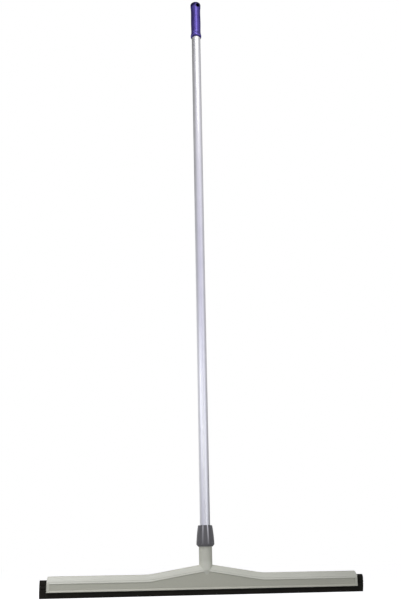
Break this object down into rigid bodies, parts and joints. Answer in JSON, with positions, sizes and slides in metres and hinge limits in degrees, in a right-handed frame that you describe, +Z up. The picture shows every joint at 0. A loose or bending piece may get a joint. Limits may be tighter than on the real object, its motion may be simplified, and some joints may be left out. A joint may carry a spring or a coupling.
{
  "type": "floor squeegee",
  "caption": "Floor squeegee: long moulded frame with paired foam-rubber blades, ribbed screw clamp on its socket, straight aluminium tube handle and push-on grip with a hanging hole.",
  "frame": {"origin": "on the floor under the middle of the blade pair, on the handle's axis", "axes": "+Z up along the handle, X along the blade, -Y towards the viewer of the picture"},
  "size_m": [0.75, 0.0418, 1.5895],
  "materials": {
    "frame_plastic": "satin",
    "foam_rubber": "matte",
    "spine_plastic": "satin",
    "sleeve_plastic": "satin",
    "nut_plastic": "satin",
    "tube_aluminium": "satin",
    "plug_plastic": "satin",
    "grip_plastic": "gloss"
  },
  "bodies": {
    "head": {"squeegee_frame": "frame_plastic"},
    "blade_cassette": {"front_blade": "foam_rubber", "rear_blade": "foam_rubber", "blade_spine": "spine_plastic"},
    "clamp_sleeve": {"clamp_sleeve": "sleeve_plastic"},
    "lock_nut": {"lock_nut": "nut_plastic"},
    "handle": {"handle_tube": "tube_aluminium", "tube_end_plug": "plug_plastic", "hand_grip": "grip_plastic"}
  },
  "joints": [
    {"name": "lock_nut_turn", "type": "hinge", "parent": "clamp_sleeve", "child": "lock_nut", "pos_m": [0, 0, 0.13], "axis": [0, 0, 1], "range_deg": [0, 720]},
    {"name": "clamp_sleeve_travel", "type": "slide", "parent": "head", "child": "clamp_sleeve", "axis": [0, 0, 1], "range_m": [0, 0.006]},
    {"name": "handle_pull_out", "type": "slide", "parent": "head", "child": "handle", "axis": [0, 0, 1], "range_m": [0, 0.1]},
    {"name": "blade_change_slide", "type": "slide", "parent": "head", "child": "blade_cassette", "axis": [1, 0, 0], "range_m": [0, 0.745]}
  ],
  "couplings": [
    {"joint": "clamp_sleeve_travel", "follows": "lock_nut_turn", "m_per_rad": 0.00047746}
  ]
}
